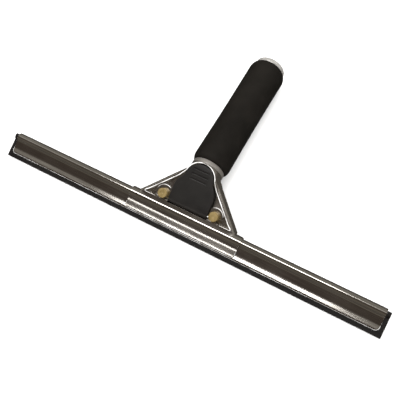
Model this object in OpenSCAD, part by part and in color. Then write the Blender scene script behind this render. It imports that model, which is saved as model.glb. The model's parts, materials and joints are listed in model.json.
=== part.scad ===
// Window cleaning squeegee with a quick-release head.
// The head is modelled in its own frame, then laid down the way it rests on a table:
//   head frame: X along the blade, Y in the blade's plane towards the handle,
//               Z out of the blade's plane on the lever's side, origin in the channel's bulb
//   rest frame: Z up, the rubber edge and the handle's far end on z = 0

/* [Channel and rubber] */
// Length of the steel channel
channel_l = 350; // [200:5:450]
// Outer radius of the channel's bulb
channel_bulb_r = 3.9; // [3.2:0.1:4.8]
// Thickness of the channel's sheet
channel_wall = 0.7; // [0.5:0.05:0.85]
// Depth from the bulb's centre to the channel's lip
channel_depth = 15.2; // [13:0.1:19]
// How far each lip leans outwards
lip_flare = 0.6; // [0.2:0.1:1]
// Radius of the channel's lower corners
lip_corner_r = 3.8; // [2:0.1:5]
// Thickness of the rubber blade
rubber_t = 2.2; // [1.8:0.1:2.7]
// Rubber that stands out past the lip
rubber_free = 4.1; // [3:0.1:6]
// Rubber that stands out past each end of the channel
rubber_over = 3.5; // [1:0.1:6]

/* [Jaws] */
// Width of both jaws
jaw_w = 104.5; // [95:0.5:140]
// Thickness of the jaws' sheet
jaw_t = 1.2; // [0.9:0.05:1.5]
// Gap between the jaws and the channel
jaw_gap = 0.15; // [0.1:0.05:0.3]
// Depth of the upper jaw's lip below the bulb's centre
upper_jaw_drop = 14; // [11.5:0.1:14.5]
// Depth of the lower jaw's lip below the bulb's centre
lower_jaw_drop = 8; // [6:0.1:9.5]
// How far the lower jaw opens
jaw_travel = 1; // [0.8:0.05:1.2]

/* [Head] */
// Width of the fan at its front edge
fan_w = 91; // [84:1:100]
// Width of the fan where it runs into the neck
fan_rear_w = 40; // [37:1:48]
// Length of the fan's straight flanks
fan_l = 27; // [22.5:0.5:36]
// Width of the rim round the recess
rim_w = 3.5; // [2.5:0.1:4.2]
// Depth of the recess
recess_depth = 2.5; // [2:0.1:2.8]
// Thickness of the recess floor
floor_t = 2; // [1.8:0.1:2.3]
// Rise of the deck towards the handle, in degrees
deck_rise = 8.5; // [5:0.5:10]
// Thickness of the head's side walls
wall_t = 2.2; // [1.6:0.1:2.6]

/* [Lever, posts and pin] */
// Half the distance between the two posts
post_x = 24.1; // [22:0.1:27]
// Radius of a post
post_r = 4.1; // [3.4:0.1:5]
// Height of a post's face above the deck
post_h = 3.4; // [2.5:0.1:4.5]
// Radial clearance of the posts and of the pin in their holes
fit_gap = 0.05; // [0.02:0.01:0.08]
// Radius of the cross pin
pin_r = 1.1; // [0.9:0.05:1.25]
// Radius of the lever's round cam hub
hub_r = 3; // [2.5:0.05:3.6]
// Gap between the lever's sides and the posts
lever_side_gap = 1.5; // [1.3:0.1:3]
// Height of the lever's face above the deck
lever_proud = 1; // [0.5:0.1:1.5]
// Angle that the lever opens through
lever_open = 70; // [55:1:80]

/* [Handle] */
// Bend between the blade's plane and the handle's axis
bend = 21; // [16:0.1:28]
// How far the neck and its collar stand out past the tube
neck_step = 2.3; // [1.5:0.1:4]
// Length of the neck collar
collar_l = 3.8; // [3:0.1:8]
// Thickness of the grip's rubber
grip_t = 4.5; // [2.5:0.1:7]
// Length of the grip
grip_l = 112; // [85:1:160]
// Thickness of the handle tube's wall
tube_t = 1.3; // [0.9:0.05:2]
// Thickness of the pole socket's liner
liner_t = 1; // [0.7:0.05:1.6]
// Radius of the pole socket
socket_r = 9.7; // [8:0.1:12]
// Length of the pole socket's wall
socket_l = 60; // [40:1:75]
// How far the end cap stands out past the tube
cap_step = 1.8; // [1.2:0.1:2.6]
// Length that the end cap shows past the grip
cap_l = 4.7; // [3:0.1:6]

/* [Hidden] */
$fn = 64;

far = 200;               // longer than any cut needs
arc_steps = 14;          // straight steps in each arc of a bent sheet

// channel and rubber
rubber_gap = 0.2;        // between the rubber and the channel
fold_r = 2;              // outer fold between the bulb and a flank
flank_n = rubber_t / 2 + rubber_gap + channel_wall;
fold_a = acos((flank_n + fold_r) / (channel_bulb_r + fold_r));
flare_from = 10.5;       // depth at which the flank starts to lean out
rubber_edge = channel_depth + rubber_free;
rubber_bulb_r = channel_bulb_r - channel_wall - 0.1;

// end clips of the rubber
clip_l = 12;
clip_w = 3;
clip_t = 0.45;
clip_v = rubber_bulb_r - 0.75;
clip_prong_r = 0.5;
clip_prong_l = 1.6;

// deck of the head: d runs along it towards the handle, h rises from it
jaw_outer_r = channel_bulb_r + jaw_gap + jaw_t;
deck_v = jaw_outer_r - 0.25;
deck_n = jaw_outer_r + 0.25;
nose_v = 1.5;            // front end of the head, over the jaw's crest
floor_h = -recess_depth;
roof_h = floor_h - floor_t;
tongue_h = roof_h - jaw_t;
plate_h = tongue_h - 3.7;
wall_h = plate_h + 0.4;
flank_slope = (fan_w - fan_rear_w) / 2 / fan_l;
flank_stretch = sqrt(1 + flank_slope * flank_slope);
tongue_front_d = -1.5;   // inside the upper jaw's bend
tongue_d = 10.9;         // rear edges of the jaws' plates
plate_d = 11.4;

// posts, pin and cam
post_d = 5.3;
pin_d = post_d - 0.6 * post_r - 0.14;
cam_e = jaw_travel / 2 / sin(lever_open / 2);
pin_h = lever_proud - 0.1 - hub_r + jaw_travel / 2;
hub_d = pin_d + cam_e * cos(lever_open / 2);
hub_h = pin_h - jaw_travel / 2;
seat_h = hub_h - hub_r - 0.05;
boss_r = post_r + 3.3;
boss_h = -0.8;
lever_half_w = post_x - post_r - lever_side_gap;
hub_half_w = lever_half_w - 0.4;
post_foot_r = post_r - 1.7;
washer_r = post_r + 1.2;
washer_t = 0.7;
nut_af = 2 * post_foot_r + 3;
nut_t = 2.4;
post_foot_l = jaw_t + washer_t + nut_t + 0.5;
post_chamfer = 0.4;
spring_wire_r = 0.45;
spring_r = post_r + 0.3 + spring_wire_r;
spring_turns = 2.5;

// recess and neck; the neck's upper side stands neck_rise over the deck's plane
tube_bore_r = socket_r + liner_t;
tube_r = tube_bore_r + tube_t;
neck_r = tube_r + neck_step;
neck_rise = 1.51;
neck_v = deck_v + fan_l + 9.6;
neck_n = deck_n + (neck_v - deck_v + neck_r * sin(bend)) * tan(deck_rise)
    - neck_r * cos(bend) + neck_rise;
neck_slab_d = fan_l - 0.4;
apex_r = fan_rear_w / 2 - rim_w * flank_stretch - 2;
apex_d = fan_l + 14.7;
spigot_l = 24;
spigot_bore_r = tube_bore_r - 3.7;
spigot_floor_s = 3;

// lever
lever_under = floor_h + 0.25;
lever_tip_r = apex_r - 0.6;
lever_tip_d = apex_d - 1.4;
lever_waist_d = fan_l - 11.8;
lever_gap = 0.4;         // between the lever's sides and the bosses
ridge_r = 1.1;
ridge_pitch = 4.3;
ridge_half_w = 8;

// belly of the head and its cover
belly_inset = 4;         // how far the belly's flanks stand in from the fan's
belly_v = deck_v + plate_d + 2.6;
belly_end_v = deck_v + fan_l;
belly_end_n = neck_n - neck_r * cos(bend) + 1.56;
belly_n = belly_end_n + 3.8;
belly_fall = atan2(belly_end_n - belly_n, belly_end_v - belly_v);
belly_l = (belly_end_v - belly_v) / cos(belly_fall);
belly_turn = deck_rise - belly_fall;
belly_d = (belly_v - deck_v) * cos(deck_rise) + (belly_n - deck_n) * sin(deck_rise);
web_t = 1.8;
cover_t = 1.5;
cover_fit = 0.1;
cover_screw_x = 12;
cover_screw_b = 0.47 * belly_l;
cover_screw_r = 1.5;
cover_boss_r = 3.2;
screw_head_r = 2.7;
jaw_screw_x = post_x + spring_r + spring_wire_r + screw_head_r + 0.4;
jaw_screw_d = post_d;
jaw_screw_r = 1.5;
screw_head_t = 1.3;

// handle
grip_r = tube_r + grip_t;
grip_round = grip_t - 0.5;
cap_r = tube_r + cap_step;
grip_s = collar_l;
grip_end_s = grip_s + grip_l;
waist = 0.4;             // how much slimmer the grip is at mid length
cap_skirt_l = 4;
cap_mouth_r = socket_r + 0.5;
cap_round = 2.4;
tube_pin_s = 15;
tube_pin_r = 1.5;

// rest pose: a line touches the rubber's lower corner and the grip's lower end
foot_v = -rubber_edge;
foot_n = -rubber_t / 2;
heel_s = grip_end_s - grip_round;
heel_r = grip_r - grip_round;
heel_v = neck_v + heel_s * cos(bend) - heel_r * sin(bend) - foot_v;
heel_n = neck_n - heel_s * sin(bend) - heel_r * cos(bend) - foot_n;
tilt = asin(grip_round / norm([heel_v, heel_n])) - atan2(heel_n, heel_v);
rest_z = -(foot_v * sin(tilt) + foot_n * cos(tilt));
front_y = foot_v * cos(tilt) + foot_n * sin(tilt);
cap_reach = (grip_end_s + cap_l - cap_round) * cos(bend - tilt)
    + (cap_r - cap_round) * sin(bend - tilt) + cap_round;
back_y = neck_v * cos(tilt) - neck_n * sin(tilt) + cap_reach;

function arc(c, r, from, to) =
    [for (i = [0 : arc_steps]) let (a = from + (to - from) * i / arc_steps)
        c + r * [cos(a), sin(a)]];
function turned(points) = [for (i = [len(points) - 1 : -1 : 0]) points[i]];
function flank_at(depth) =
    flank_n + lip_flare * max(0, depth - flare_from) / (channel_depth - flare_from);

// One side of the channel's section as [z, y] points, from the crown to the given depth
function side(inset, depth, crown = 90) = concat(
    arc([0, 0], channel_bulb_r - inset, crown, -fold_a),
    arc([flank_n + fold_r, -(channel_bulb_r + fold_r) * sin(fold_a)],
        fold_r + inset, 180 - fold_a, 180),
    depth > flare_from ? [[flank_n - inset, -flare_from]] : [],
    [[flank_at(depth) - inset, -depth]]);

// One leaf of sheet that follows the channel's side, between two insets
module leaf(outer, inner, depth, crown, width) {
    rotate([0, -90, 0])
        linear_extrude(width, center = true)
            polygon(concat(side(outer, depth, crown), turned(side(inner, depth, crown))));
}

module rest() {
    translate([0, -(front_y + back_y) / 2, rest_z]) rotate([tilt, 0, 0]) children();
}

module deck() {
    translate([0, deck_v, deck_n]) rotate([deck_rise, 0, 0]) children();
}

// Z runs along the handle's axis, from the neck's face to the far end
module handle() {
    translate([0, neck_v, neck_n]) rotate([-(90 + bend), 0, 0]) children();
}

module belly() {
    translate([0, belly_v, belly_n]) rotate([belly_fall, 0, 0]) children();
}

module along_x(r, l) {
    rotate([0, 90, 0]) cylinder(r = r, h = l, center = true);
}

module each_post() {
    for (x = [-post_x, post_x]) translate([x, post_d, 0]) children();
}

// Removes what lies outside the rounded lower corners of a leaf of the given width
module corner_cuts(width, depth, r) {
    for (s = [-1, 1]) translate([s * (width / 2 - r), r - depth, 0])
        difference() {
            translate([s * r, -r, 0]) cube([2 * r, 2 * r, far], center = true);
            cylinder(r = r, h = far, center = true);
        }
}

// Plan of the fan, drawn in from its edge by the given amount
module fan_plan(inset, front) {
    shift = inset * flank_stretch;
    polygon([
        [-fan_w / 2 + shift, front], [fan_w / 2 - shift, front], [fan_w / 2 - shift, 0],
        [fan_rear_w / 2 - shift, fan_l], [-fan_rear_w / 2 + shift, fan_l],
        [-fan_w / 2 + shift, 0]
    ]);
}

// Front of the head, which spreads out to meet the jaw
module apron_plan() {
    polygon([
        [-fan_w / 2 - 3.5, -6], [fan_w / 2 + 3.5, -6], [fan_w / 2 + 1.4, -2.6],
        [fan_w / 2, 0], [-fan_w / 2, 0], [-fan_w / 2 - 1.4, -2.6]
    ]);
}

module recess_plan() {
    shift = rim_w * flank_stretch;
    polygon([
        [-fan_w / 2 + shift, 0.3], [fan_w / 2 - shift, 0.3],
        [fan_rear_w / 2 - shift, fan_l], [apex_r, apex_d - apex_r],
        [-apex_r, apex_d - apex_r], [-fan_rear_w / 2 + shift, fan_l]
    ]);
    translate([0, apex_d - apex_r]) circle(apex_r);
}

module channel() {
    color("silver") rest() difference() {
        union() {
            leaf(0, channel_wall, channel_depth, 90, channel_l);
            mirror([0, 0, 1]) leaf(0, channel_wall, channel_depth, 90, channel_l);
        }
        corner_cuts(channel_l, channel_depth, lip_corner_r);
    }
}

module rubber_blade() {
    length = channel_l + 2 * rubber_over;
    color("#1c1b1a") rest() difference() {
        union() {
            along_x(rubber_bulb_r, length);
            translate([-length / 2, -rubber_edge, -rubber_t / 2])
                cube([length, rubber_edge, rubber_t]);
        }
        for (s = [-1, 1]) {
            translate([s * channel_l / 2, clip_v + far / 2, 0])
                cube([2 * clip_l + 0.4, far, far], center = true);
            clip_prong(s);
        }
    }
}

module clip_prong(s) {
    translate([s * (channel_l / 2 - clip_l / 2), clip_v + clip_t / 2, 0])
        rotate([90, 0, 0])
            cylinder(r = clip_prong_r, h = clip_prong_l + clip_t / 2, $fn = 32);
}

// Spring-steel clip that keeps the rubber from creeping out of the channel's end
module end_clip(s) {
    color("silver") rest() {
        translate([s * (channel_l / 2 - clip_l / 2), clip_v + clip_t / 2, 0])
            cube([clip_l - 1, clip_t, clip_w], center = true);
        clip_prong(s);
    }
}

module left_clip() {
    end_clip(-1);
}

module right_clip() {
    end_clip(1);
}

module upper_jaw() {
    color("silver") rest() difference() {
        union() {
            difference() {
                leaf(-jaw_gap - jaw_t, -jaw_gap, upper_jaw_drop, 90, jaw_w);
                corner_cuts(jaw_w, upper_jaw_drop, lip_corner_r);
            }
            deck() translate([0, 0, tongue_h]) linear_extrude(jaw_t) tongue_plan();
        }
        along_x(channel_bulb_r + jaw_gap, far);
        deck() each_post() cylinder(r = post_r + 0.4, h = far, center = true);
        deck() jaw_screw_holes();
    }
}

// Plate that fixes the upper jaw under the head, open in the middle for the cam
module tongue_plan() {
    intersection() {
        fan_plan(wall_t + 0.3, tongue_front_d);
        difference() {
            translate([-fan_w / 2, tongue_front_d]) square([fan_w, tongue_d - tongue_front_d]);
            translate([-hub_half_w - 1.2, 0.5]) square([2 * (hub_half_w + 1.2), far]);
        }
    }
}

module jaw_screw_holes() {
    for (x = [-jaw_screw_x, jaw_screw_x]) translate([x, jaw_screw_d, tongue_h - 1])
        cylinder(r = jaw_screw_r, h = jaw_t + 1 + floor_t - 0.5, $fn = 32);
}

module jaw_screws() {
    color("dimgray") rest() deck()
        for (x = [-jaw_screw_x, jaw_screw_x]) translate([x, jaw_screw_d, tongue_h])
            difference() {
                union() {
                    translate([0, 0, -screw_head_t])
                        cylinder(r = screw_head_r, h = screw_head_t);
                    cylinder(r = jaw_screw_r, h = jaw_t + floor_t - 0.5, $fn = 32);
                }
                translate([0, 0, -screw_head_t - 0.1])
                    cylinder(r = 1.2, h = 0.9, $fn = 6);
            }
}

// Side view of the head's fan, without the neck
module fan_side() {
    rotate([90, 0, 90]) linear_extrude(far, center = true)
        polygon([
            [nose_v, jaw_outer_r + 0.03], [deck_v, deck_n],
            deck_point(fan_l + 1, 0), deck_point(fan_l + 1, wall_h),
            deck_point(0.7, wall_h), [jaw_outer_r + 0.15, 0],
            [jaw_outer_r + 0.15, 1.2], [nose_v, 1.2]
        ]);
}

module belly_side() {
    rotate([90, 0, 90]) linear_extrude(far, center = true)
        polygon([
            deck_point(plate_d + 0.9, floor_h), [belly_v, belly_n],
            [belly_end_v, belly_end_n], deck_point(fan_l, floor_h)
        ]);
}

function deck_point(d, h) = [
    deck_v + d * cos(deck_rise) - h * sin(deck_rise),
    deck_n + d * sin(deck_rise) + h * cos(deck_rise)];

module head_block() {
    intersection() {
        deck_prism() {
            fan_plan(0, -6);
            apron_plan();
        }
        fan_side();
    }
    intersection() {
        deck_prism() fan_plan(belly_inset, -6);
        belly_side();
    }
    hull() {
        handle() translate([0, 0, -1]) cylinder(r = neck_r, h = 1, $fn = 48);
        neck_slab(0) fan_side();
        neck_slab(belly_inset) belly_side();
    }
    handle() translate([0, 0, -2]) cylinder(r = tube_bore_r, h = spigot_l + 2);
}

// Slice of the head that the neck grows out of
module neck_slab(inset) {
    intersection() {
        deck_prism() translate([inset - fan_rear_w / 2, neck_slab_d - 1])
            square([fan_rear_w - 2 * inset, 1]);
        children();
    }
}

// A plan of the deck carried through the whole head
module deck_prism() {
    deck() translate([0, 0, -far / 2]) linear_extrude(far) children();
}

module head_casting() {
    color("silver") rest() difference() {
        union() {
            difference() {
                head_block();
                deck() translate([0, 0, floor_h]) linear_extrude(far) recess_plan();
                front_hollow();
                belly_hollow();
            }
            bosses();
            cam_seat();
            cover_bosses();
        }
        along_x(jaw_outer_r + 0.02, far);
        cam_pocket();
        deck() each_post() cylinder(r = post_r + fit_gap, h = far, center = true);
        deck() translate([0, 0, -jaw_travel - pin_r - 0.3]) pin_slots();
        deck() jaw_screw_holes();
        cover_screw_holes();
        handle() translate([0, 0, spigot_floor_s]) cylinder(r = spigot_bore_r, h = far);
        handle() translate([0, 0, tube_pin_s]) along_x(tube_pin_r, far);
    }
}

// Raised ring round each post, cut straight beside the lever
module bosses() {
    clear = lever_half_w + lever_gap;
    deck() difference() {
        each_post() translate([0, 0, roof_h]) cylinder(r = boss_r, h = boss_h - roof_h);
        translate([-clear, -far / 2, floor_h]) cube([2 * clear, far, far]);
    }
}

// Hollow over the lower jaw's plate, open below and in front
module front_hollow() {
    deck() translate([0, 0, roof_h - far]) linear_extrude(far)
        intersection() {
            fan_plan(wall_t, -6);
            translate([-far / 2, -6]) square([far, 6 + plate_d + 0.4]);
        }
}

module belly_hollow() {
    deck() translate([0, 0, roof_h - far]) linear_extrude(far)
        intersection() {
            fan_plan(wall_t + belly_inset, -6);
            translate([-far / 2, plate_d + 0.4 + web_t])
                square([far, fan_l - 1.5 - plate_d - 0.4 - web_t]);
        }
}

// Floor of the pocket that the lever's cam bears on
module cam_seat() {
    deck() translate([-hub_half_w - 0.5, 0.8, seat_h - 1.4])
        cube([2 * (hub_half_w + 0.5), hub_d + hub_r + 0.6, roof_h - seat_h + 1.5]);
}

module cam_pocket() {
    deck() translate([-hub_half_w - 0.4, -0.3, seat_h])
        cube([2 * (hub_half_w + 0.4), hub_d + hub_r + 0.7, far]);
}

module pin_slots() {
    for (x = [-post_x, post_x]) translate([x - boss_r - 0.8, pin_d - pin_r - 0.25, pin_h])
        cube([2 * (boss_r + 0.8), 2 * pin_r + 0.5, far]);
}

module cover_bosses() {
    intersection() {
        belly() for (x = [-cover_screw_x, cover_screw_x])
            translate([x, cover_screw_b, cover_t]) cylinder(r = cover_boss_r, h = far);
        deck() translate([-far / 2, 0, roof_h + 0.5 - far]) cube(far);
    }
}

module cover_screw_holes() {
    belly() for (x = [-cover_screw_x, cover_screw_x])
        translate([x, cover_screw_b, -1]) cylinder(r = cover_screw_r, h = 7, $fn = 32);
}

// The cover fills the belly's mouth from web to neck, just inside the walls
module cover_plan() {
    front = (plate_d + 0.5 + web_t - belly_d) / cos(belly_turn);
    back = belly_l - 2.6;
    right = [[cover_half(front), front], [cover_half(back), back]];
    polygon(concat(right, [for (p = turned(right)) [-p[0], p[1]]]));
}

// Half the width that is free between the belly's walls, at a distance along the belly
function cover_half(b) = fan_w / 2 - (wall_t + belly_inset + cover_fit) * flank_stretch
    - flank_slope * (belly_d + b * cos(belly_turn) + cover_t * sin(belly_turn));

module back_cover() {
    color("silver") rest() difference() {
        belly() linear_extrude(cover_t) cover_plan();
        belly() for (x = [-cover_screw_x, cover_screw_x]) translate([x, cover_screw_b, 0]) {
            cylinder(r = cover_screw_r, h = far, center = true, $fn = 32);
            cylinder(r1 = screw_head_r, r2 = cover_screw_r, h = 1.2);
        }
    }
}

module cover_screws() {
    color("dimgray") rest() belly()
        for (x = [-cover_screw_x, cover_screw_x]) translate([x, cover_screw_b, 0])
            difference() {
                union() {
                    cylinder(r1 = screw_head_r, r2 = cover_screw_r, h = 1.2);
                    cylinder(r = cover_screw_r, h = 6, $fn = 32);
                }
                translate([0, 0, -0.1]) cylinder(r = 1.1, h = 0.9, $fn = 6);
            }
}

module lower_jaw() {
    color("silver") rest() difference() {
        union() {
            difference() {
                mirror([0, 0, 1])
                    leaf(-jaw_gap - jaw_t, -jaw_gap, lower_jaw_drop, 62, jaw_w);
                corner_cuts(jaw_w, lower_jaw_drop, lip_corner_r / 2);
            }
            deck() translate([0, 0, plate_h - jaw_t]) linear_extrude(jaw_t) intersection() {
                fan_plan(0.5, -8);
                translate([-far / 2, -5.6]) square([far, 5.6 + plate_d]);
            }
        }
        along_x(channel_bulb_r + jaw_gap, far);
        deck() each_post() cylinder(r = post_foot_r, h = far, center = true);
    }
}

// Brass post that ties the lower jaw to the cross pin
module post(x) {
    color("#b08d57") rest() deck() difference() {
        translate([x, post_d, 0]) {
            translate([0, 0, plate_h])
                cylinder(r = post_r, h = post_h - plate_h - post_chamfer);
            translate([0, 0, post_h - post_chamfer])
                cylinder(r1 = post_r, r2 = post_r - post_chamfer, h = post_chamfer);
            translate([0, 0, plate_h - post_foot_l])
                cylinder(r = post_foot_r, h = post_foot_l + 1);
        }
        translate([0, pin_d, pin_h]) along_x(pin_r, far);
    }
}

module left_post() {
    post(-post_x);
}

module right_post() {
    post(post_x);
}

module cross_pin() {
    color("gainsboro") rest() deck() translate([0, pin_d, pin_h])
        along_x(pin_r, 2 * post_x + 5);
}

module post_washers() {
    color("gainsboro") rest() deck() each_post()
        translate([0, 0, plate_h - jaw_t - washer_t]) difference() {
            cylinder(r = washer_r, h = washer_t);
            cylinder(r = post_foot_r, h = far, center = true);
        }
}

module post_nuts() {
    color("#b08d57") rest() deck() each_post()
        translate([0, 0, plate_h - jaw_t - washer_t - nut_t]) difference() {
            cylinder(r = nut_af / sqrt(3), h = nut_t, $fn = 6);
            cylinder(r = post_foot_r, h = far, center = true);
        }
}

// Round wire wound into a spring that stands on the lower jaw's plate
module coil(x) {
    steps = 40;
    sides = 8;
    low = plate_h + spring_wire_r + 0.03;
    high = tongue_h - spring_wire_r - 0.05;
    points = [for (i = [0 : steps], j = [0 : sides - 1])
        let (a = 360 * spring_turns * i / steps, b = 360 * j / sides,
            r = spring_r + spring_wire_r * cos(b))
        [r * cos(a), r * sin(a), low + (high - low) * i / steps + spring_wire_r * sin(b)]];
    walls = [for (i = [0 : steps - 1], j = [0 : sides - 1])
        let (k = (j + 1) % sides)
        [i * sides + j, (i + 1) * sides + j, (i + 1) * sides + k, i * sides + k]];
    ends = [[for (j = [0 : sides - 1]) j], [for (j = [sides - 1 : -1 : 0]) steps * sides + j]];
    color("gainsboro") rest() deck() translate([x, post_d, 0])
        polyhedron(points, concat(walls, ends), convexity = 4);
}

module left_spring() {
    coil(-post_x);
}

module right_spring() {
    coil(post_x);
}

module lever_plan() {
    tip_d = lever_tip_d - lever_tip_r;
    right = [
        [lever_half_w, hub_d], [lever_half_w, lever_waist_d],
        [lever_half_w - 1.5, lever_waist_d + 6.6], [lever_tip_r + 0.1, tip_d + 0.5]
    ];
    polygon(concat(right, [for (p = turned(right)) [-p[0], p[1]]]));
    translate([0, lever_tip_d - lever_tip_r]) circle(lever_tip_r);
}

module release_lever() {
    color("#2b2a29") rest() deck() difference() {
        union() {
            translate([0, 0, lever_under]) linear_extrude(lever_proud - lever_under)
                lever_plan();
            translate([0, hub_d, hub_h]) along_x(hub_r, 2 * hub_half_w);
        }
        translate([0, pin_d, pin_h]) along_x(pin_r + fit_gap, far);
        for (i = [0 : 2])
            translate([0, lever_tip_d - 5.6 - ridge_pitch * i, lever_proud + 0.55])
                along_x(ridge_r, 2 * ridge_half_w);
    }
}

module neck_collar() {
    color("lightgray") rest() handle() difference() {
        cylinder(r = neck_r, h = collar_l);
        cylinder(r = tube_bore_r, h = far, center = true);
    }
}

module handle_tube() {
    color("silver") rest() handle() difference() {
        translate([0, 0, collar_l]) cylinder(r = tube_r, h = grip_l);
        cylinder(r = tube_bore_r, h = far * 2, center = true);
        translate([0, 0, tube_pin_s]) along_x(tube_pin_r, far);
    }
}

module tube_pin() {
    color("dimgray") rest() handle() translate([0, 0, tube_pin_s])
        along_x(tube_pin_r, 2 * tube_r - 0.4);
}

module rubber_grip() {
    color("#242322") rest() handle() rotate_extrude($fn = 96) polygon(concat(
        [[tube_r, grip_s]],
        arc([grip_r - grip_round, grip_s + grip_round], grip_round, -90, 0),
        [for (i = [1 : arc_steps - 1]) let (t = i / arc_steps)
            [grip_r - waist * sin(180 * t), grip_s + grip_round
                + (grip_l - 2 * grip_round) * t]],
        arc([grip_r - grip_round, grip_end_s - grip_round], grip_round, 0, 90),
        [[tube_r, grip_end_s]]));
}

module socket_liner() {
    color("#33373a") rest() handle()
        translate([0, 0, grip_end_s - cap_skirt_l - socket_l]) difference() {
            cylinder(r = tube_bore_r, h = socket_l);
            cylinder(r = socket_r, h = far, center = true);
        }
}

module end_cap() {
    end_s = grip_end_s + cap_l;
    color("silver") rest() handle() rotate_extrude() polygon(concat(
        [[cap_mouth_r, grip_end_s - cap_skirt_l], [tube_bore_r, grip_end_s - cap_skirt_l],
            [tube_bore_r, grip_end_s], [cap_r, grip_end_s]],
        arc([cap_r - cap_round, end_s - cap_round], cap_round, 0, 90),
        [[cap_mouth_r + 0.6, end_s], [cap_mouth_r, end_s - 0.8]]));
}

head_casting();
upper_jaw();
jaw_screws();
back_cover();
cover_screws();
neck_collar();
handle_tube();
tube_pin();
rubber_grip();
socket_liner();
end_cap();
lower_jaw();
left_post();
right_post();
cross_pin();
post_washers();
post_nuts();
left_spring();
right_spring();
release_lever();
channel();
rubber_blade();
left_clip();
right_clip();
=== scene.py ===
"""Looks of the window cleaning squeegee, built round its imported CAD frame.

Lengths in the design values are in millimetres, as on a drawing. Three drawing frames are used:
  head    X along the blade, Y in the blade's plane towards the handle, Z out on the lever's side
  deck    the head's top plane: Y runs along it towards the neck, Z rises from it
  handle  Z runs along the handle's axis from the neck's face
"""

import json
import math

import bmesh
import bpy
import numpy as np
from mathutils import Matrix, Vector


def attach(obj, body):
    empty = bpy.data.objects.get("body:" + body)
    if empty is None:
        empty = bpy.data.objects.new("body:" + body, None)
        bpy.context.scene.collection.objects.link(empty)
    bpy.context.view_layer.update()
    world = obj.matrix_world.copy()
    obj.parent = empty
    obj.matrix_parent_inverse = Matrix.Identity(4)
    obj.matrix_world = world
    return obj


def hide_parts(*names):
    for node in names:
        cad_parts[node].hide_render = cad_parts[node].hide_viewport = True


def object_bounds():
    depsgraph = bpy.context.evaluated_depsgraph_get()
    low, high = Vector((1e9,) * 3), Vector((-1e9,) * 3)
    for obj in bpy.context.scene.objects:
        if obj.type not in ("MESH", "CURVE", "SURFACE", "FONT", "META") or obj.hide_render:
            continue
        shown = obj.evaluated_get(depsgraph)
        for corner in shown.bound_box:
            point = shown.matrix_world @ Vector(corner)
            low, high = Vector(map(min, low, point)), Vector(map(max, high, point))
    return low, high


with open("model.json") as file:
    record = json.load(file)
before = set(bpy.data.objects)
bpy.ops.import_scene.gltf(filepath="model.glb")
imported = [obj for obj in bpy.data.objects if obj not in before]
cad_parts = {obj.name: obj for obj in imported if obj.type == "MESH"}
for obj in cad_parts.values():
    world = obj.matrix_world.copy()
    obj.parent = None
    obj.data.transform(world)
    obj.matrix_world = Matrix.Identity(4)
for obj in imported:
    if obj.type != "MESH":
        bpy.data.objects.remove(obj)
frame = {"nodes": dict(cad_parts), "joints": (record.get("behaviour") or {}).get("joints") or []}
CAD_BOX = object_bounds()

MM = 0.001
X_AXIS = Vector((1, 0, 0))

# ---------------------------------------------------------------- design values
# blade: folded channel, rubber strip between its flanks; depths are from the bulb's centre
CHANNEL_L, BULB_R, WALL, CHANNEL_DEPTH = 350.0, 3.9, 0.7, 15.2
RUBBER_T, RUBBER_GAP, RUBBER_EDGE, RUBBER_OVER = 2.2, 0.2, 19.3, 3.5
BULB_GAP, BULB_FLAT, RUBBER_CHAMFER = 0.1, 0.75, 0.12
FOLD_R, LIP_CORNER = 2.0, 3.8
FLANK = RUBBER_T / 2 + RUBBER_GAP + WALL
FOLD_A = math.degrees(math.acos((FLANK + FOLD_R) / (BULB_R + FOLD_R)))

# jaws: sheet over and under the channel's bulb
JAW_W, JAW_T, JAW_GAP, UPPER_DROP, LOWER_DROP = 104.5, 1.2, 0.15, 14.0, 8.0
JAW_CORNER, LOWER_CORNER, UPPER_CROWN, LOWER_CROWN = 4.0, 1.9, 90, 62
JAW_OUTER = BULB_R + JAW_GAP + JAW_T

# head: a fan whose deck rises from the jaw to the bent neck
DECK_RISE, DECK_Y, DECK_Z = 8.5, JAW_OUTER - 0.25, JAW_OUTER + 0.25
FAN_W, FAN_REAR_W, FAN_L = 91.0, 40.0, 27.0
FAN_SLOPE = (FAN_W - FAN_REAR_W) / 2 / FAN_L
BEND, NECK_R, NECK_RISE, NECK_L = 21.0, 14.3, 1.51, 9.6
NECK_Y = DECK_Y + FAN_L + NECK_L
NECK_Z = (
    DECK_Z
    + (NECK_Y - DECK_Y + NECK_R * math.sin(math.radians(BEND))) * math.tan(math.radians(DECK_RISE))
    - NECK_R * math.cos(math.radians(BEND))
    + NECK_RISE
)
RIM_W, APEX_R, APEX_D, BOSS_R, BOSS_H = 3.5, 13.18, 41.7, 7.4, -0.8
PLATE_H, PLATE_D, PLATE_FRONT, PLATE_INSET = -9.4, 11.4, -4.4, 0.5

# posts, cross pin and lever; D is along the deck and H above it
POST_X, POST_R, POST_H, POST_D, POST_ROUND = 24.1, 4.1, 3.4, 5.3, 0.45
STUD_R, STUD_L, STUD_CHAMFER = 2.5, 4.8, 0.3
PIN_R, PIN_D, PIN_H, PIN_OVER, PIN_ROUND = 1.1, 2.7, -1.6, 2.5, 0.3
HUB_R, HUB_HALF_W, HUB_D, HUB_H = 3.0, 18.1, PIN_D + 0.714, PIN_H - 0.5
LEVER_HALF_W, LEVER_TOP, LEVER_UNDER = 18.5, 1.0, -2.25
LEVER_TIP_R, LEVER_TIP_D, LEVER_WAIST_D = 12.6, 40.3, 15.2
LEVER_SHOULDER = (
    (LEVER_HALF_W - 0.45, 18.6), (LEVER_HALF_W - 1.6, 21.9), (14.8, 25.1), (13.0, 27.8),
)
GROOVES, GROOVE_R, GROOVE_L, GROOVE_PITCH, GROOVE_FROM_TIP = 3, 1.15, 15.0, 4.3, 5.6
GROOVE_LIFT = 0.45

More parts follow.
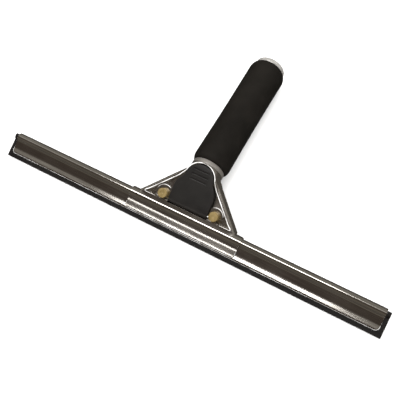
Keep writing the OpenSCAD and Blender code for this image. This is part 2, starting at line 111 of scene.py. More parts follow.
# handle: collar, tube, grip and end cap, from the neck's face
COLLAR_L, COLLAR_ROUND, TUBE_R, TUBE_BORE_R, SOCKET_R = 3.8, 0.5, 12.0, 10.7, 9.7
GRIP_R, GRIP_L, GRIP_ROUND, GRIP_WAIST, GRIP_SHOULDER = 16.5, 112.0, 4.0, 0.4, 1.6
CAP_R, CAP_L, CAP_ROUND, CAP_SKIRT, CAP_MOUTH_ROUND = 13.8, 4.7, 2.4, 4.0, 0.7
GRIP_END = COLLAR_L + GRIP_L
FACE_GAP = 0.02          # between faces that would otherwise meet exactly

# rounded edges, and radii of the thin lines of painted highlight along them
CHANNEL_EDGE, JAW_EDGE, PLATE_EDGE, HEAD_EDGE, LEVER_EDGE = 0.16, 0.22, 0.25, 0.35, 0.55
LIP_LINE, JAW_LINE, RIM_LINE, BOSS_LINE = 0.15, 0.2, 0.38, 0.3
HIGHLIGHT_SLOT = 1            # the material slot of the painted highlight on edges

# ---------------------------------------------------------------- drawing frames
JOINTS = {j["name"]: j for j in frame["joints"]}


def drawing_frames():
    """The deck, head and handle frames, from the lever's hinge and the jaw's sliding direction."""
    rise = -Vector(JOINTS["jaw_slide"]["axis"]).normalized()
    along = rise.cross(X_AXIS).normalized()
    pin = Vector(JOINTS["lever_hinge"]["pos_m"])
    origin = pin - along * PIN_D * MM - rise * PIN_H * MM
    turn = Matrix((X_AXIS, along, rise)).transposed().to_4x4()
    deck = Matrix.Translation(origin) @ turn @ Matrix.Scale(MM, 4)
    head = (
        deck
        @ Matrix.Rotation(math.radians(-DECK_RISE), 4, "X")
        @ Matrix.Translation((0, -DECK_Y, -DECK_Z))
    )
    handle = (
        head
        @ Matrix.Translation((0, NECK_Y, NECK_Z))
        @ Matrix.Rotation(math.radians(-90 - BEND), 4, "X")
    )
    return deck, head, handle


DECK, HEAD, HANDLE = drawing_frames()


# ---------------------------------------------------------------- mesh tools
def make_mesh(name, points, faces):
    """A linked object from a list of points and faces."""
    mesh = bpy.data.meshes.new(name)
    mesh.from_pydata([tuple(p) for p in points], [], faces)
    mesh.validate()
    obj = bpy.data.objects.new(name, mesh)
    bpy.context.scene.collection.objects.link(obj)
    return obj


def bake_modifiers(obj):
    """Replaces the object's mesh with its evaluated one and clears the modifiers."""
    graph = bpy.context.evaluated_depsgraph_get()
    graph.update()
    made = bpy.data.meshes.new_from_object(obj.evaluated_get(graph))
    obj.modifiers.clear()
    obj.data = made
    return obj


def bevel(obj, width, segments=3, angle=35, slot=-1):
    """Rounds the edges sharper than the angle; the new faces can take another material slot."""
    if slot > 0:
        while len(obj.data.materials) <= slot:
            obj.data.materials.append(None)
    mod = obj.modifiers.new("Bevel", "BEVEL")
    mod.width = width
    mod.segments = segments
    mod.limit_method = "ANGLE"
    mod.angle_limit = math.radians(angle)
    mod.material = slot
    return bake_modifiers(obj)


def boolean(obj, other, operation):
    """Joins, cuts or keeps what two closed meshes share, and removes the second."""
    mod = obj.modifiers.new("Boolean", "BOOLEAN")
    mod.operation = operation
    mod.solver = "EXACT"
    mod.object = other
    bake_modifiers(obj)
    bpy.data.objects.remove(other)
    return obj


def weld(obj, distance):
    """Joins points that lie closer together than the distance."""
    mod = obj.modifiers.new("Weld", "WELD")
    mod.merge_threshold = distance
    return bake_modifiers(obj)


def smooth(obj, angle=32):
    """Smooth shading that stays sharp over edges steeper than the angle."""
    obj.data.shade_smooth()
    obj.data.set_sharp_from_angle(angle=math.radians(angle))
    return obj


def place(obj, matrix):
    """Moves a mesh drawn in a drawing frame into the row frame."""
    obj.data.transform(matrix)
    obj.data.update()
    return obj


def finish_piece(obj, body, slot, replaced, angle=32, look=None):
    """Shading, material, body and replaced nodes of a piece. The slot names its material; a look,
    if given, is used in its place.
    """
    smooth(obj, angle)
    material = MATERIALS[look or slot]
    if obj.data.materials:
        obj.data.materials[0] = material
        # the second slot holds the painted highlight of edges and lines
        obj.data.materials[HIGHLIGHT_SLOT] = MATERIALS["painted_highlight_edge"]
    else:
        obj.data.materials.append(material)
    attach(obj, body)
    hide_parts(*replaced)
    return obj


def arc(cx, cy, r, start, end, steps):
    """Points on an arc, angles in degrees."""
    angles = [math.radians(start + (end - start) * i / steps) for i in range(steps + 1)]
    return [(cx + r * math.cos(a), cy + r * math.sin(a)) for a in angles]


def lathe(name, profile, segments=128):
    """Turns a closed (radius, height) outline about Z."""
    points, faces = [], []
    count = len(profile)
    for i in range(segments):
        a = 2 * math.pi * i / segments
        points += [(r * math.cos(a), r * math.sin(a), z) for r, z in profile]
    for i in range(segments):
        k = (i + 1) % segments
        for j in range(count):
            m = (j + 1) % count
            faces.append((i * count + j, k * count + j, k * count + m, i * count + m))
    obj = make_mesh(name, points, faces)
    return weld(obj, 1e-4)


def loft(name, rings):
    """A closed mesh through rings with equal numbers of points."""
    count = len(rings[0])
    last = (len(rings) - 1) * count
    faces = [tuple(range(count - 1, -1, -1)), tuple(range(last, last + count))]
    for start in range(0, last, count):
        for i in range(count):
            a, b = start + i, start + (i + 1) % count
            faces.append((a, b, b + count, a + count))
    return make_mesh(name, [p for ring in rings for p in ring], faces)


def prism(name, outline, low, high):
    """A closed outline in X and Y, carried from one height to another."""
    return loft(name, [[(x, y, z) for x, y in outline] for z in (low, high)])


def rod(name, radius, length, centre, segments=64):
    """A closed cylinder along X."""
    x, y, z = centre
    ring = arc(y, z, radius, 0, 360 - 360 / segments, segments - 1)
    ends = (x - length / 2, x + length / 2)
    return loft(name, [[(end, a, b) for a, b in ring] for end in ends])


def shell(name, outer, inner, columns):
    """A sheet along X. Each row of outer and inner is (y, z, half length)."""
    rows, cols = len(outer), len(columns)
    points = [(t * half, y, z) for y, z, half in outer + inner for t in columns]
    back = rows * cols

    def at(i, j):
        return i * cols + j

    def rim(a, b):
        """The face across the sheet's thickness, on the edge from a to b."""
        return (a, b, b + back, a + back)

    faces = []
    for i in range(rows - 1):
        for j in range(cols - 1):
            quad = (at(i, j), at(i, j + 1), at(i + 1, j + 1), at(i + 1, j))
            faces += [quad, tuple(back + q for q in reversed(quad))]
    for j in range(cols - 1):
        faces += [rim(at(0, j + 1), at(0, j)), rim(at(rows - 1, j), at(rows - 1, j + 1))]
    for i in range(rows - 1):
        faces += [rim(at(i, 0), at(i + 1, 0)), rim(at(i + 1, cols - 1), at(i, cols - 1))]
    return make_mesh(name, points, faces)


def bead(name, path, radius, sides=10, taper=4):
    """A thin round line along an open path of (x, y, z) points, thinner at both ends."""
    rings = []
    spots = [Vector(p) for p in path]
    for i, spot in enumerate(spots):
        ahead = spots[min(i + 1, len(spots) - 1)] - spots[max(i - 1, 0)]
        across = ahead.cross(Vector((0, 0, 1))).normalized()
        up = across.cross(ahead).normalized()
        thick = radius * min(1.0, 0.25 + min(i, len(spots) - 1 - i) / taper)
        circle = arc(0, 0, thick, 0, 360 - 360 / sides, sides - 1)
        rings.append([spot + across * y + up * z for y, z in circle])
    return loft(name, rings)


def join_lines(obj, lines):
    """Adds thin lines to an object's mesh, in its painted highlight slot."""
    graph = bmesh.new()
    graph.from_mesh(obj.data)
    for line in lines:
        old = len(graph.faces)
        graph.from_mesh(line.data)
        graph.faces.ensure_lookup_table()
        for face in graph.faces[old:]:
            face.material_index = HIGHLIGHT_SLOT
        bpy.data.objects.remove(line)
    graph.to_mesh(obj.data)
    graph.free()
    return obj


def spaced(ends, middle):
    """Column places from -1 to 1, close together near both ends."""
    near = [1 - ends * (i / 6) ** 1.5 for i in range(7)]
    inner = list(np.linspace(near[-1], -near[-1], middle))[1:-1]
    return sorted(set(near + inner + [-t for t in near]))


# ---------------------------------------------------------------- sheet sections
# how steeply a side leans outwards at each depth below the bulb's centre
CHANNEL_LEAN = ((10.0, 0.0), (10.8, 0.13), (14.2, 0.13), (14.5, -0.12), (15.2, -0.12))
JAW_LEAN = (
    (5.6, 0.0), (6.5, 0.14), (7.0, 0.14), (8.0, 0.072), (10.8, 0.072), (11.8, 0.13), (13.2, 0.13),
    (13.5, -0.06), (14.0, -0.06),
)


def flank_at(depth, lean):
    """How far out a side lies at a depth, from its leans above it."""
    depths, slopes = zip(*lean)
    at = np.linspace(0, depth, 80)
    return FLANK + float(np.mean(np.interp(at, (0, *depths), (0, *slopes)))) * depth


def side_rows(inset, depth, half, corner, lean, crown=90.0, steps=22):
    """Rows (y, z, half length) of one side of the channel's section, from crown to lip."""
    rows = [(y, z, half) for z, y in arc(0, 0, BULB_R - inset, crown, -FOLD_A, steps)]
    centre_y = -(BULB_R + FOLD_R) * math.sin(math.radians(FOLD_A))
    fold = arc(FLANK + FOLD_R, centre_y, FOLD_R + inset, 180 - FOLD_A, 180, 10)
    rows += [(y, z, half) for z, y in fold[1:]]
    start = -rows[-1][0]
    for i in range(1, 9):
        d = start + (depth - corner - start) * i / 8
        rows.append((-d, flank_at(d, lean) - inset, half))
    for i in range(1, 9):
        a = math.radians(90 * i / 8)
        d = depth - corner + corner * math.sin(a)
        rows.append((-d, flank_at(d, lean) - inset, half - corner + corner * math.cos(a)))
    return rows


def leaf(name, depth, corner, crown, lower=False):
    """One leaf of a jaw, over the channel or, mirrored, under it."""
    sign = -1 if lower else 1
    shape = (depth, JAW_W / 2, corner, JAW_LEAN, crown)
    outer = [(y, sign * z, h) for y, z, h in side_rows(-JAW_GAP - JAW_T, *shape)]
    inner = [(y, sign * z, h) for y, z, h in side_rows(-JAW_GAP, *shape)]
    if lower:
        outer, inner = outer[::-1], inner[::-1]
    obj = shell(name, outer, inner, spaced(0.05, 9))
    obj.data.flip_normals()
    return obj


def lip_path(half, depth, corner, lean, height, side=1):
    """A sheet's outline on one side: up one end, round the lower corners and along the lip."""
    inset = 0.2
    curve = arc(half - corner, depth - corner, corner - inset, 0, 90, 12)
    straight = np.linspace(depth * 0.55, depth - corner, 5)[:-1]
    right = [(half - inset, float(d)) for d in straight] + curve
    right = [(x, -d, side * (flank_at(d, lean) + height)) for x, d in right]
    return right + [(-x, y, z) for x, y, z in right[::-1]]


# ---------------------------------------------------------------- node materials
def new_material(name):
    """A material with its node tree and its main shader."""
    material = bpy.data.materials.new(name)
    material.use_nodes = True
    tree = material.node_tree
    shader = tree.nodes["Principled BSDF"]
    return material, tree, shader


def node(tree, kind, **values):
    """A node with the given inputs or settings."""
    made = tree.nodes.new(kind)
    for key, value in values.items():
        if key in made.inputs.keys():
            made.inputs[key].default_value = value
        else:
            setattr(made, key, value)
    return made


def noise(tree, scale, detail=4.0, rough=0.5, stretch=(1, 1, 1)):
    """Noise on the object's own coordinates, which are metres in the row frame."""
    place_in = node(tree, "ShaderNodeTexCoord")
    mapping = node(tree, "ShaderNodeMapping", Scale=stretch)
    tree.links.new(place_in.outputs["Object"], mapping.inputs["Vector"])
    made = node(tree, "ShaderNodeTexNoise", Scale=scale, Detail=detail, Roughness=rough)
    tree.links.new(mapping.outputs["Vector"], made.inputs["Vector"])
    return made.outputs["Fac"]


def ramp(tree, source, stops):
    """A colour ramp; stops are (place, colour or grey)."""
    made = tree.nodes.new("ShaderNodeValToRGB")
    elements = made.color_ramp.elements
    while len(elements) < len(stops):
        elements.new(0.5)
    for element, (place_at, value) in zip(elements, stops):
        element.position = place_at
        grey = not hasattr(value, "__len__")
        element.color = (value, value, value, 1) if grey else (*value, 1)
    tree.links.new(source, made.inputs["Fac"])
    return made.outputs["Color"]


def mix(tree, fac, a, b, blend="MIX"):
    """Mixes two colours; each value is a socket, a colour or a number."""
    made = tree.nodes.new("ShaderNodeMix")
    made.data_type = "RGBA"
    made.blend_type = blend
    for socket, value in ((made.inputs[0], fac), (made.inputs[6], a), (made.inputs[7], b)):
        if hasattr(value, "links"):
            tree.links.new(value, socket)
        elif hasattr(value, "__len__"):
            socket.default_value = (*value, 1)
        else:
            socket.default_value = value
    return made.outputs[2]


def bump(tree, shader, height, strength, distance):
    """Raises the surface by a height map; the distance is in metres."""
    made = node(tree, "ShaderNodeBump", Strength=strength, Distance=distance)
    tree.links.new(height, made.inputs["Height"])
    tree.links.new(made.outputs["Normal"], shader.inputs["Normal"])


def edge_wear(tree, low=0.53, high=0.62):
    """Bright on convex edges, from the mesh's own shape."""
    geometry = tree.nodes.new("ShaderNodeNewGeometry")
    return ramp(tree, geometry.outputs["Pointiness"], [(low, 0.0), (high, 1.0)])


def steel(name, light, dark, rough, grain=(3, 140, 140), grain_bump=0.05, metal=1.0):
    """Polished or satin stainless steel with drawn lines along the blade and faint smears."""
    material, tree, shader = new_material(name)
    shader.inputs["Metallic"].default_value = metal
    lines = noise(tree, 12, 6, 0.7, grain)
    smears = noise(tree, 38, 3, 0.6)
    tone = ramp(tree, smears, [(0.3, dark), (0.72, light)])
    drawn = [tuple(c * k for c in tint) for tint, k in ((dark, 0.7), (light, 1.15))]
    lined = mix(tree, 0.4, tone, ramp(tree, lines, [(0.38, drawn[0]), (0.62, drawn[1])]))
    tree.links.new(lined, shader.inputs["Base Color"])
    rough_map = mix(
        tree,
        0.5,
        ramp(tree, lines, [(0.3, rough * 0.8), (0.7, rough * 1.25)]),
        ramp(tree, smears, [(0.3, rough * 0.75), (0.75, rough * 1.5)]),
    )
    tree.links.new(rough_map, shader.inputs["Roughness"])
    bump(tree, shader, lines, grain_bump, 0.00004)
    return material


def painted_highlight_edge(name):
    """Painted highlight on steel edges: pale and hardly metallic, so it lights up under the fill
    light, uneven along its length.
    """
    material, tree, shader = new_material(name)
    shader.inputs["Metallic"].default_value = 0.1
    uneven_highlight = noise(tree, 110, 5, 0.55)
    # painted highlight: grey to near white along the edge
    tone = ramp(tree, uneven_highlight, [(0.38, (0.36, 0.345, 0.33)), (0.58, (0.90, 0.89, 0.88))])
    tree.links.new(tone, shader.inputs["Base Color"])
    tree.links.new(ramp(tree, uneven_highlight, [(0.3, 0.5), (0.7, 0.34)]), shader.inputs["Roughness"])
    bump(tree, shader, uneven_highlight, 0.12, 0.00003)
    return material


def brass(name):
    """Turned brass gone dull, with brighter rims."""
    material, tree, shader = new_material(name)
    shader.inputs["Metallic"].default_value = 0.5
    tarnish = noise(tree, 260, 5, 0.65)
    fine = noise(tree, 1900, 3, 0.6)
    tone = ramp(tree, tarnish, [(0.32, (0.19, 0.135, 0.047)), (0.7, (0.34, 0.25, 0.108))])
    tree.links.new(mix(tree, edge_wear(tree), tone, (0.8, 0.7, 0.42)), shader.inputs["Base Color"])
    tree.links.new(ramp(tree, tarnish, [(0.3, 0.42), (0.7, 0.27)]), shader.inputs["Roughness"])
    bump(tree, shader, fine, 0.25, 0.00003)
    return material


def grip_rubber(name):
    """Matte black sleeve with a fine pebbled grain and faint handling marks."""
    material, tree, shader = new_material(name)
    grain = noise(tree, 1500, 4, 0.6)
    patches = noise(tree, 45, 3, 0.55)
    tone = ramp(tree, patches, [(0.3, (0.0035, 0.0029, 0.0022)), (0.75, (0.0075, 0.0062, 0.0047))])
    tree.links.new(mix(tree, 0.12, tone, grain, "OVERLAY"), shader.inputs["Base Color"])
    tree.links.new(ramp(tree, patches, [(0.3, 0.62), (0.7, 0.78)]), shader.inputs["Roughness"])
    shader.inputs["Specular IOR Level"].default_value = 0.2
    bump(tree, shader, grain, 0.7, 0.00016)
    return material


def blade_rubber(name):
    """Smooth dark rubber with drawn lines and a little dust."""
    material, tree, shader = new_material(name)
    lines = noise(tree, 16, 5, 0.6, (2, 90, 90))
    dust = noise(tree, 420, 4, 0.7)
    tone = ramp(tree, lines, [(0.3, (0.0030, 0.0026, 0.0024)), (0.7, (0.0075, 0.0064, 0.0058))])
    tree.links.new(
        mix(tree, ramp(tree, dust, [(0.66, 0.0), (0.85, 0.10)]), tone, (0.12, 0.11, 0.10)),
        shader.inputs["Base Color"],
    )
    tree.links.new(ramp(tree, lines, [(0.3, 0.42), (0.7, 0.55)]), shader.inputs["Roughness"])
    shader.inputs["Specular IOR Level"].default_value = 0.22
    bump(tree, shader, dust, 0.12, 0.00004)
    return material


def moulded_plastic(name, dark, light, rough):
    """Finely textured plastic, rubbed in places and paler on its edges."""
    material, tree, shader = new_material(name)
    texture = noise(tree, 2300, 3, 0.6)
    rubbed = noise(tree, 70, 4, 0.6)
    tone = ramp(tree, rubbed, [(0.3, dark), (0.75, light)])
    worn = mix(tree, edge_wear(tree, 0.54, 0.68), tone, tuple(2.2 * c for c in light))
    tree.links.new(worn, shader.inputs["Base Color"])
    sheen = ramp(tree, rubbed, [(0.3, rough * 1.12), (0.75, rough * 0.86)])
    tree.links.new(sheen, shader.inputs["Roughness"])
    bump(tree, shader, texture, 0.3, 0.00004)
    return material


MATERIALS = {
    "polished_steel": steel("polished_steel", (0.60, 0.57, 0.53), (0.50, 0.47, 0.43), 0.13),
    "cast_steel": steel(
        "cast_steel", (0.60, 0.57, 0.53), (0.46, 0.43, 0.39), 0.21, (30, 60, 60), 0.05
    ),
    "satin_steel": steel(
        "satin_steel", (0.60, 0.57, 0.54), (0.46, 0.43, 0.40), 0.34, (20, 200, 60), 0.10, 0.9
    ),
    # painted highlight: a lighter, less metallic copy of the steel, so the cap's rounded end shows
    # a bright ring
    "painted_highlight_cap_steel": steel(
        "painted_highlight_cap_steel", (0.76, 0.74, 0.71), (0.60, 0.58, 0.55), 0.26, (20, 200, 60), 0.05, 0.72
    ),
    "screw_steel": steel("screw_steel", (0.34, 0.33, 0.32), (0.22, 0.21, 0.2), 0.36, (60, 60, 60)),
    "tube_aluminium": steel("tube_aluminium", (0.7, 0.7, 0.71), (0.6, 0.6, 0.61), 0.3),
    "pin_steel": steel("pin_steel", (0.72, 0.71, 0.69), (0.62, 0.61, 0.59), 0.12),
    "spring_steel": steel("spring_steel", (0.5, 0.5, 0.49), (0.36, 0.36, 0.35), 0.25),
    # painted highlight for rounded edges and thin lines
    "painted_highlight_edge": painted_highlight_edge("painted_highlight_edge"),
    "brass": brass("brass"),
    "grip_rubber": grip_rubber("grip_rubber"),
    "blade_rubber": blade_rubber("blade_rubber"),
    "liner_nylon": moulded_plastic("liner_nylon", (0.03, 0.033, 0.036), (0.05, 0.055, 0.06), 0.45),
    "lever_plastic": moulded_plastic(
        "lever_plastic", (0.0052, 0.0046, 0.0042), (0.0105, 0.0095, 0.0086), 0.38
    ),
}


# ---------------------------------------------------------------- blade
def build_channel():
    """The folded sheet, open below, with a thin line of painted highlight along both lips."""
    half = CHANNEL_L / 2
    outer = side_rows(0, CHANNEL_DEPTH, half, LIP_CORNER, CHANNEL_LEAN)
    inner = side_rows(WALL, CHANNEL_DEPTH, half, LIP_CORNER, CHANNEL_LEAN)

    def both_sides(rows):
        return [(y, z, h) for y, z, h in rows[::-1]] + [(y, -z, h) for y, z, h in rows[1:]]

    obj = shell("steel_channel", both_sides(outer), both_sides(inner), spaced(0.012, 25))
    obj.data.flip_normals()
    # the rounded edges and the lip lines take the painted highlight
    bevel(obj, CHANNEL_EDGE, 2, 50, HIGHLIGHT_SLOT)
    edge = (half, CHANNEL_DEPTH, LIP_CORNER, CHANNEL_LEAN, -0.12)
    join_lines(obj, [bead("lip_line", lip_path(*edge, side), LIP_LINE) for side in (1, -1)])
    return finish_piece(place(obj, HEAD), "blade", "polished_steel", ["channel"])


def build_rubber():
    """One moulded strip: a round bulb, a neck between the flanks and a square-cut edge."""
    bulb = BULB_R - WALL - BULB_GAP
    half_t = RUBBER_T / 2
    start = math.degrees(math.asin(half_t / bulb))
    flat = math.degrees(math.acos((bulb - BULB_FLAT) / bulb))
    outline = arc(0, 0, bulb, -90 + start, 90 - flat, 18)
    outline += arc(0, 0, bulb, 90 + flat, 270 - start, 18)
    foot = -RUBBER_EDGE + RUBBER_CHAMFER
    outline += [(-half_t, foot), (-half_t + RUBBER_CHAMFER, -RUBBER_EDGE)]
    outline += [(half_t - RUBBER_CHAMFER, -RUBBER_EDGE), (half_t, foot)]
    length = CHANNEL_L + 2 * RUBBER_OVER
    stations = [length * (t / 2) for t in spaced(0.02, 15)]
    obj = loft("rubber_strip", [[(x, y, z) for z, y in outline[::-1]] for x in stations])
    return finish_piece(place(obj, HEAD), "blade", "blade_rubber", ["rubber_blade"])


# ---------------------------------------------------------------- jaws
def build_upper_jaw():
    """The leaf over the channel, with a thin line of painted highlight along its lip."""
    obj = leaf("upper_jaw_leaf", UPPER_DROP, JAW_CORNER, UPPER_CROWN)
    # the rounded edges and the lip line take the painted highlight
    bevel(obj, JAW_EDGE, 3, 50, HIGHLIGHT_SLOT)
    edge = lip_path(JAW_W / 2, UPPER_DROP, JAW_CORNER, JAW_LEAN, JAW_GAP + JAW_T - 0.14)
    join_lines(obj, [bead("jaw_line", edge, JAW_LINE)])
    return finish_piece(place(obj, HEAD), "head", "polished_steel", ["upper_jaw"])


def fan_outline(inset, front, back):
    """The fan's plan on the deck, drawn in by inset, between two distances along the deck."""
    wide = FAN_W / 2 - inset * math.hypot(1, FAN_SLOPE)
    narrow = wide - FAN_SLOPE * back
    right = [(wide, front), (wide, 0.0), (narrow, back)]
    return right + [(-x, y) for x, y in right[::-1]]


def build_lower_jaw():
    """The leaf under the channel, joined to the plate that holds the posts."""
    obj = leaf("lower_jaw_plate", LOWER_DROP, LOWER_CORNER, LOWER_CROWN, True)
    place(obj, HEAD)
    outline = fan_outline(PLATE_INSET, PLATE_FRONT, PLATE_D)
    boolean(obj, place(prism("plate", outline, PLATE_H - JAW_T, PLATE_H), DECK), "UNION")
    bevel(obj, PLATE_EDGE * MM, 2, 50)
    return finish_piece(obj, "lower_jaw", "polished_steel", ["lower_jaw"])


# ---------------------------------------------------------------- head
def rim_path():
    """The recess's upper edge on the deck, from post to post round the lever's tip."""
    shift = RIM_W * math.hypot(1, FAN_SLOPE)
    wide, narrow = FAN_W / 2 - shift, FAN_REAR_W / 2 - shift
    tip_y = APEX_D - APEX_R
    right = [(POST_X + BOSS_R - 1, 0.3), (wide - 0.8, 0.3), (wide - 0.2, 0.5), (wide - 0.6, 1.6)]
    right += [(wide + (narrow - wide) * t, 0.3 + (FAN_L - 0.3) * t) for t in (0.15, 0.4, 0.7, 0.92)]
    right += arc(0, tip_y, APEX_R, 11, 90, 18)
    rise = [NECK_RISE * min(1.0, max(0.0, (y - FAN_L) / (APEX_D - FAN_L))) for _, y in right]
    half = [(x + 0.2 if x > 1 else x, y, h - 0.1) for (x, y), h in zip(right, rise)]
    return half + [(-x, y, h) for x, y, h in half[-2::-1]]


def add_beads(obj):
    """Joins the painted highlight lines along the rim and the bosses' rear edges to the head."""
    lines = [bead("rim_line", rim_path(), RIM_LINE)]
    for x, start, end in ((-POST_X, 52, 165), (POST_X, 15, 128)):
        edge = [(px, py, BOSS_H - 0.12) for px, py in arc(x, POST_D, BOSS_R - 0.15, start, end, 20)]
        lines.append(bead("boss_line", edge, BOSS_LINE))
    return join_lines(obj, [place(line, DECK) for line in lines])


def copy_of_node(node_name, name):
    """A free copy of a CAD node's solid, for a piece that takes the node's place."""
    obj = frame["nodes"][node_name].copy()
    obj.data = obj.data.copy()
    obj.name = name
    obj.parent = None
    for key in list(obj.keys()):
        del obj[key]
    bpy.context.scene.collection.objects.link(obj)
    obj.data.materials.clear()
    return obj


# half width that the apron adds to the fan's, from the jaw's crest to the deck's front
APRON = ((0.9, 4.1), (1.4, 3.6), (2.1, 2.6), (3.0, 1.5), (4.0, 0.6))
FORM_DEPTH = 26.0        # the form's sections reach below everything in the head
FORM_POWER = 12.0        # how square the sections' shoulders are
FORM_COUNT = 120         # points round each section
NECK_PULL = 0.42         # how long the flanks keep their direction before the neck


def head_section(width, top):
    """A section of the head's outside, from its top down: a nearly square superellipse."""
    half = FORM_DEPTH / 2
    points = []
    for i in range(FORM_COUNT):
        a = 2 * math.pi * i / FORM_COUNT
        c, s = math.cos(a), math.sin(a)
        x = width * math.copysign(abs(c) ** (2 / FORM_POWER), c)
        points.append((x, top - half + half * math.copysign(abs(s) ** (2 / FORM_POWER), s)))
    return points


def head_rings():
    """Sections of the head's outside in the head frame, from the jaw's crest to the collar."""
    rings = []
    crest = JAW_OUTER - FACE_GAP
    for v, extra in APRON:
        t = (v - APRON[0][0]) / (DECK_Y - APRON[0][0])
        section = head_section(FAN_W / 2 + extra, crest + (DECK_Z - crest) * t * t)
        rings.append([Vector((x, v, h)) for x, h in section])
    to_head = HEAD.inverted() @ DECK
    for d in np.linspace(0.0, FAN_L - 1.0, 20):
        section = head_section(FAN_W / 2 - FAN_SLOPE * d, 0.0)
        rings.append([to_head @ Vector((x, d, h)) for x, h in section])
    neck = HEAD.inverted() @ HANDLE
    axis = (neck.to_3x3() @ Vector((0, 0, 1))).normalized()
    first, before = rings[-1], rings[-2]
    circle = arc(0, 0, NECK_R, 0, 360 - 360 / FORM_COUNT, FORM_COUNT - 1)
    collar = [neck @ Vector((x, -y, 0.0)) for x, y in circle]
    for k in range(1, 21):
        t, u = k / 20, 1 - k / 20
        ring = []
        for a, b, back in zip(first, collar, before):
            pull = (b - a).length * NECK_PULL
            p1 = a + (a - back).normalized() * pull
            p2 = b - axis * pull
            ring.append(u**3 * a + 3 * u * u * t * p1 + 3 * u * t * t * p2 + t**3 * b)
        rings.append(ring)
    return rings


def build_head():
    """The cast head: the CAD casting's pockets and bores inside a smoother outside."""
    form = place(loft("head_form", head_rings()), HEAD)
    obj = copy_of_node("head_casting", "cast_head")
    weld(obj, 1e-6)
    boolean(obj, form, "INTERSECT")
    weld(obj, 4e-6)
    # the rounded edges take the painted highlight
    bevel(obj, HEAD_EDGE * MM, 3, 38, HIGHLIGHT_SLOT)
    add_beads(obj)
    return finish_piece(obj, "head", "cast_steel", ["head_casting"], 40)


# ---------------------------------------------------------------- lever and its posts
def lever_outline():
    """Right half of the lever's plan, from the front edge to the tip's centre."""
    tip_y = LEVER_TIP_D - LEVER_TIP_R
    flank = [(LEVER_HALF_W, HUB_D), (LEVER_HALF_W, 9.0), (LEVER_HALF_W, LEVER_WAIST_D)]
    return [(0.0, HUB_D), *flank, *LEVER_SHOULDER, *arc(0, tip_y, LEVER_TIP_R, 12, 90, 20)]


def build_lever():
    """The lever with its cam hub, three shallow grooves for the thumb and the pin's bore."""
    right = lever_outline()
    outline = right + [(-x, y) for x, y in right[-2:0:-1]]
    obj = prism("cam_lever", outline, LEVER_UNDER, LEVER_TOP)
    bevel(obj, LEVER_EDGE, 4, 50)
    boolean(obj, rod("hub", HUB_R, 2 * HUB_HALF_W, (0, HUB_D, HUB_H)), "UNION")
    for i in range(GROOVES):
        at = (0, LEVER_TIP_D - GROOVE_FROM_TIP - GROOVE_PITCH * i, LEVER_TOP + GROOVE_LIFT)
        boolean(obj, rod("groove", GROOVE_R, GROOVE_L, at, 32), "DIFFERENCE")
    boolean(obj, rod("bore", PIN_R + 0.05, 60, (0, PIN_D, PIN_H), 32), "DIFFERENCE")
    weld(obj, 0.004)
    return finish_piece(place(obj, DECK), "lever", "lever_plastic", ["release_lever"], 34)


def build_post(name, x, replaced):
    """Turned brass post: flat face with a rounded rim and a shallow turned ring."""
    top, foot = POST_H, PLATE_H
    profile = [(0.0, top - 0.16), (0.5, top - 0.16), (0.62, top - 0.05), (0.8, top)]
    profile += [(2.7, top), (2.8, top - 0.12), (3.0, top - 0.12), (3.1, top)]
    profile += arc(POST_R - POST_ROUND, top - POST_ROUND, POST_ROUND, 90, 0, 5)
    profile += [(POST_R, foot + 0.2), (POST_R - 0.2, foot), (STUD_R, foot)]
    profile += [(STUD_R, foot - STUD_L + STUD_CHAMFER), (STUD_R - STUD_CHAMFER, foot - STUD_L)]
    profile.append((0.0, foot - STUD_L))
    obj = lathe(name, profile, 72)
    obj.data.transform(Matrix.Translation((x, POST_D, 0)))
    return finish_piece(place(obj, DECK), "lower_jaw", "brass", [replaced])


def build_cross_pin():
    """The lever's axle, a rod with rounded ends through both posts."""
    half = POST_X + PIN_OVER
    profile = [(0.0, -half), *arc(PIN_R - PIN_ROUND, -half + PIN_ROUND, PIN_ROUND, -90, 0, 4)]
    profile += [*arc(PIN_R - PIN_ROUND, half - PIN_ROUND, PIN_ROUND, 0, 90, 4), (0.0, half)]
    obj = lathe("steel_cross_pin", profile, 40)
    obj.data.transform(
        Matrix.Translation((0, PIN_D, PIN_H)) @ Matrix.Rotation(math.radians(90), 4, "Y")
    )
    return finish_piece(place(obj, DECK), "lower_jaw", "pin_steel", ["cross_pin"])


# ---------------------------------------------------------------- handle
def build_grip():
    """The sleeve, drawn in a little at mid length, with rounded ends longer than they are deep."""
    shoulder = GRIP_ROUND * GRIP_SHOULDER
    curve = arc(GRIP_R - GRIP_ROUND, 0, GRIP_ROUND, -90, 0, 12)
    rounded = [(r, shoulder + z * GRIP_SHOULDER) for r, z in curve]
    steps = 24
    profile = [(TUBE_R, COLLAR_L)] + [(r, COLLAR_L + z) for r, z in rounded]
    for i in range(1, steps):
        r = GRIP_R - GRIP_WAIST * math.sin(math.pi * i / steps)
        profile.append((r, COLLAR_L + shoulder + (GRIP_L - 2 * shoulder) * i / steps))
    profile += [(r, GRIP_END - z) for r, z in rounded[::-1]] + [(TUBE_R, GRIP_END)]
    obj = lathe("rubber_sleeve", profile, 144)
    return finish_piece(place(obj, HANDLE), "head", "grip_rubber", ["rubber_grip"], 50)


